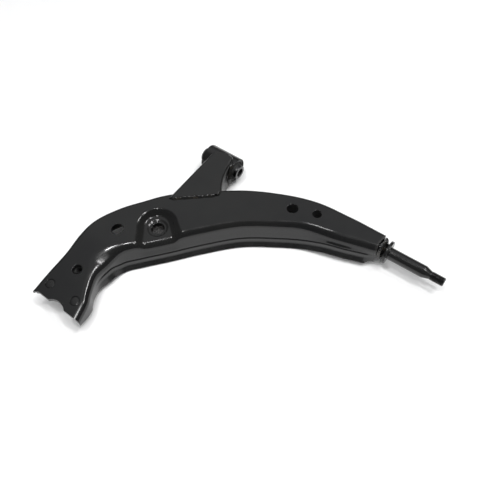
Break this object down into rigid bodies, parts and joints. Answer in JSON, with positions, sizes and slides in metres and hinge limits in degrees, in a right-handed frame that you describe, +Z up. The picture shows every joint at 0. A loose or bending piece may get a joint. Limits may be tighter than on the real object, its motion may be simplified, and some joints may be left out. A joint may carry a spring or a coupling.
{
  "type": "control arm",
  "caption": "Curved left front lower control arm of a car: two pressed shells, a bracket with a rubber pivot bush, a threaded rear stud and a flared foot for the ball joint.",
  "frame": {"origin": "middle of the footprint, on the ground that the arm lies on", "axes": "+X forward along the pivot axis through the front bush and the rear stud, the stud pointing to -X; +Y outboard, towards the ball joint; +Z up"},
  "size_m": [0.488, 0.3759, 0.0521],
  "materials": {
    "black_paint": "gloss black electrocoat",
    "painted_weld": "black paint over weld beads",
    "bare_steel": "dark satin steel",
    "bush_rubber": "matt"
  },
  "bodies": {
    "arm": {"upper_shell": "black_paint", "lower_shell": "black_paint", "foot_reinforcement": "black_paint", "ball_joint_weld_nut": "bare_steel", "ball_joint_stud_outer": "black_paint", "ball_joint_stud_inner": "black_paint", "bush_housing": "black_paint", "bush_outer_sleeve": "bare_steel", "bush_rubber": "bush_rubber", "bush_bracket": "black_paint", "bracket_closing_plate": "black_paint", "rear_stud": "black_paint", "stud_stop_washer": "black_paint", "stop_washer_weld": "painted_weld", "stud_root_weld": "painted_weld", "near_seam_weld": "painted_weld", "back_seam_weld": "painted_weld", "bracket_lap_weld": "painted_weld", "bracket_front_weld": "painted_weld", "bracket_rear_weld": "painted_weld", "housing_front_weld": "painted_weld", "housing_rear_weld": "painted_weld", "housing_crown_weld": "painted_weld", "closing_plate_weld": "painted_weld"},
    "bush_core": {"bush_inner_sleeve": "bare_steel"}
  },
  "joints": [
    {"name": "front_bush_twist", "type": "hinge", "parent": "arm", "child": "bush_core", "pos_m": [0.153, -0.1655, 0.0255], "axis": [1, 0, 0], "range_deg": [-25, 25], "stiffness_Nm_per_rad": 60}
  ]
}
